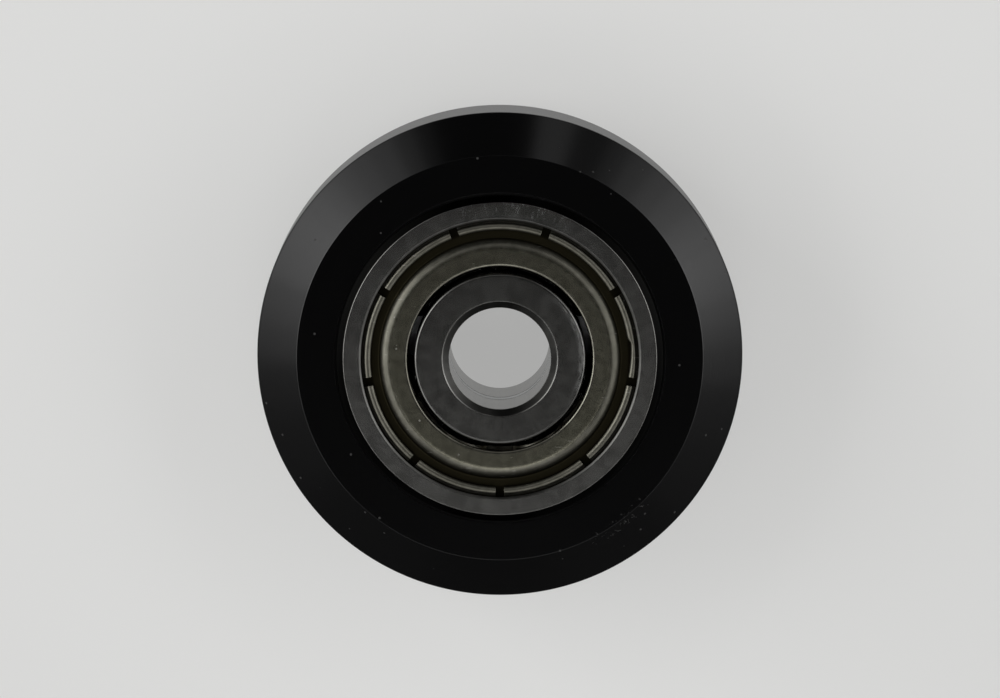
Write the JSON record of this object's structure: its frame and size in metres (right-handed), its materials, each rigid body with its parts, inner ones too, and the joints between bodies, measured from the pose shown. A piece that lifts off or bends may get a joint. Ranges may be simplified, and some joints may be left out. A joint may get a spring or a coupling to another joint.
{
  "type": "solid v profile rail wheel with two shielded ball bearings",
  "caption": "Black plastic wheel with a flat tread and sloping V flanks, turning on shielded ball bearings either side of a thin inner rib, for running in a V groove rail.",
  "frame": {"origin": "centre of the axle hole, halfway between the outer faces of the two bearings", "axes": "+Z along the axle, out of the front bearing; the wheel lies on the rear bearing's faces; +X and +Y are any two directions across the axle, with the first ball of each bearing on +Y"},
  "size_m": [0.0239, 0.0238, 0.011],
  "materials": {
    "black_acetal": "satin turned black acetal",
    "ring_steel": "ground bearing steel",
    "shield_steel": "pressed sheet steel, slightly olive",
    "cage_steel": "pressed sheet steel",
    "ball_steel": "polished bearing steel",
    "shim_steel": "ground steel"
  },
  "bodies": {
    "axle_set": {"front_inner_ring": "ring_steel", "rear_inner_ring": "ring_steel", "spacer_shim": "shim_steel"},
    "wheel_set": {"wheel": "black_acetal", "front_outer_ring": "ring_steel", "rear_outer_ring": "ring_steel", "front_shield_outboard": "shield_steel", "front_shield_inboard": "shield_steel", "rear_shield_outboard": "shield_steel", "rear_shield_inboard": "shield_steel"},
    "front_cage": {"front_cage_outboard": "cage_steel", "front_cage_inboard": "cage_steel", "front_cage_rivets": "cage_steel"},
    "front_ball_1": {"front_ball_1": "ball_steel"},
    "front_ball_2": {"front_ball_2": "ball_steel"},
    "front_ball_3": {"front_ball_3": "ball_steel"},
    "front_ball_4": {"front_ball_4": "ball_steel"},
    "front_ball_5": {"front_ball_5": "ball_steel"},
    "front_ball_6": {"front_ball_6": "ball_steel"},
    "front_ball_7": {"front_ball_7": "ball_steel"},
    "rear_cage": {"rear_cage_outboard": "cage_steel", "rear_cage_inboard": "cage_steel", "rear_cage_rivets": "cage_steel"},
    "rear_ball_1": {"rear_ball_1": "ball_steel"},
    "rear_ball_2": {"rear_ball_2": "ball_steel"},
    "rear_ball_3": {"rear_ball_3": "ball_steel"},
    "rear_ball_4": {"rear_ball_4": "ball_steel"},
    "rear_ball_5": {"rear_ball_5": "ball_steel"},
    "rear_ball_6": {"rear_ball_6": "ball_steel"},
    "rear_ball_7": {"rear_ball_7": "ball_steel"}
  },
  "joints": [
    {"name": "wheel_spin", "type": "hinge", "parent": "axle_set", "child": "wheel_set", "pos_m": [0, 0, 0], "axis": [0, 0, 1], "continuous": true},
    {"name": "front_cage_turn", "type": "hinge", "parent": "axle_set", "child": "front_cage", "pos_m": [0, 0, 0.003], "axis": [0, 0, 1], "continuous": true},
    {"name": "front_ball_1_roll", "type": "hinge", "parent": "front_cage", "child": "front_ball_1", "pos_m": [0, 0.00525, 0.003], "axis": [0, 0, 1], "continuous": true},
    {"name": "front_ball_2_roll", "type": "hinge", "parent": "front_cage", "child": "front_ball_2", "pos_m": [0.0041, 0.00327, 0.003], "axis": [0, 0, 1], "continuous": true},
    {"name": "front_ball_3_roll", "type": "hinge", "parent": "front_cage", "child": "front_ball_3", "pos_m": [0.00512, -0.00117, 0.003], "axis": [0, 0, 1], "continuous": true},
    {"name": "front_ball_4_roll", "type": "hinge", "parent": "front_cage", "child": "front_ball_4", "pos_m": [0.00228, -0.00473, 0.003], "axis": [0, 0, 1], "continuous": true},
    {"name": "front_ball_5_roll", "type": "hinge", "parent": "front_cage", "child": "front_ball_5", "pos_m": [-0.00228, -0.00473, 0.003], "axis": [0, 0, 1], "continuous": true},
    {"name": "front_ball_6_roll", "type": "hinge", "parent": "front_cage", "child": "front_ball_6", "pos_m": [-0.00512, -0.00117, 0.003], "axis": [0, 0, 1], "continuous": true},
    {"name": "front_ball_7_roll", "type": "hinge", "parent": "front_cage", "child": "front_ball_7", "pos_m": [-0.0041, 0.00327, 0.003], "axis": [0, 0, 1], "continuous": true},
    {"name": "rear_cage_turn", "type": "hinge", "parent": "axle_set", "child": "rear_cage", "pos_m": [0, 0, -0.003], "axis": [0, 0, 1], "continuous": true},
    {"name": "rear_ball_1_roll", "type": "hinge", "parent": "rear_cage", "child": "rear_ball_1", "pos_m": [0, 0.00525, -0.003], "axis": [0, 0, 1], "continuous": true},
    {"name": "rear_ball_2_roll", "type": "hinge", "parent": "rear_cage", "child": "rear_ball_2", "pos_m": [0.0041, 0.00327, -0.003], "axis": [0, 0, 1], "continuous": true},
    {"name": "rear_ball_3_roll", "type": "hinge", "parent": "rear_cage", "child": "rear_ball_3", "pos_m": [0.00512, -0.00117, -0.003], "axis": [0, 0, 1], "continuous": true},
    {"name": "rear_ball_4_roll", "type": "hinge", "parent": "rear_cage", "child": "rear_ball_4", "pos_m": [0.00228, -0.00473, -0.003], "axis": [0, 0, 1], "continuous": true},
    {"name": "rear_ball_5_roll", "type": "hinge", "parent": "rear_cage", "child": "rear_ball_5", "pos_m": [-0.00228, -0.00473, -0.003], "axis": [0, 0, 1], "continuous": true},
    {"name": "rear_ball_6_roll", "type": "hinge", "parent": "rear_cage", "child": "rear_ball_6", "pos_m": [-0.00512, -0.00117, -0.003], "axis": [0, 0, 1], "continuous": true},
    {"name": "rear_ball_7_roll", "type": "hinge", "parent": "rear_cage", "child": "rear_ball_7", "pos_m": [-0.0041, 0.00327, -0.003], "axis": [0, 0, 1], "continuous": true}
  ],
  "couplings": [
    {"joint": "front_cage_turn", "follows": "wheel_spin", "ratio": 0.63229},
    {"joint": "front_ball_1_roll", "follows": "wheel_spin", "ratio": 1.7576},
    {"joint": "front_ball_2_roll", "follows": "wheel_spin", "ratio": 1.7576},
    {"joint": "front_ball_3_roll", "follows": "wheel_spin", "ratio": 1.7576},
    {"joint": "front_ball_4_roll", "follows": "wheel_spin", "ratio": 1.7576},
    {"joint": "front_ball_5_roll", "follows": "wheel_spin", "ratio": 1.7576},
    {"joint": "front_ball_6_roll", "follows": "wheel_spin", "ratio": 1.7576},
    {"joint": "front_ball_7_roll", "follows": "wheel_spin", "ratio": 1.7576},
    {"joint": "rear_cage_turn", "follows": "wheel_spin", "ratio": 0.63229},
    {"joint": "rear_ball_1_roll", "follows": "wheel_spin", "ratio": 1.7576},
    {"joint": "rear_ball_2_roll", "follows": "wheel_spin", "ratio": 1.7576},
    {"joint": "rear_ball_3_roll", "follows": "wheel_spin", "ratio": 1.7576},
    {"joint": "rear_ball_4_roll", "follows": "wheel_spin", "ratio": 1.7576},
    {"joint": "rear_ball_5_roll", "follows": "wheel_spin", "ratio": 1.7576},
    {"joint": "rear_ball_6_roll", "follows": "wheel_spin", "ratio": 1.7576},
    {"joint": "rear_ball_7_roll", "follows": "wheel_spin", "ratio": 1.7576}
  ]
}
